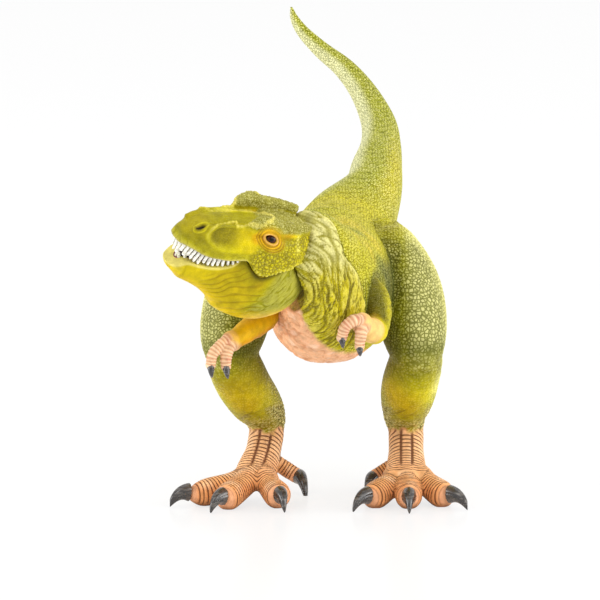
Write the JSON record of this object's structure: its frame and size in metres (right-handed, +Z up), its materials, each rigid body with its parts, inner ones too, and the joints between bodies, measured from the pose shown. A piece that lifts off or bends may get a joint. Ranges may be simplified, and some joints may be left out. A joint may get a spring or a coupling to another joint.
{
  "type": "toy dinosaur figure",
  "caption": "Moulded toy figure of a green two-legged meat-eating dinosaur, striding with raised tail, turned head and a jaw that opens on a hidden hinge.",
  "frame": {"origin": "middle of the figure's outer box, on the ground that it stands on", "axes": "+Z up, -Y the way the chest faces, +X towards the figure's left side; the head is turned towards -X"},
  "size_m": [0.0936, 0.2762, 0.1372],
  "materials": {
    "green_skin": "matte paint over soft moulded plastic",
    "yellow_skin": "matte paint over soft moulded plastic",
    "tooth_white": "satin white",
    "tongue_pink": "satin pink",
    "dark_pin": "matte dark"
  },
  "bodies": {
    "figure": {"torso": "green_skin", "tail": "green_skin", "left_leg": "green_skin", "right_leg": "green_skin", "left_arm": "yellow_skin", "right_arm": "yellow_skin", "head": "yellow_skin", "jaw_pin": "dark_pin", "upper_teeth": "tooth_white"},
    "jaw": {"lower_jaw": "yellow_skin", "lower_teeth": "tooth_white", "tongue": "tongue_pink"}
  },
  "joints": [
    {"name": "jaw_hinge", "type": "hinge", "parent": "figure", "child": "jaw", "pos_m": [-0.011, -0.11253, 0.08409], "axis": [0.389, -0.812, -0.4351], "range_deg": [0, 24]}
  ]
}
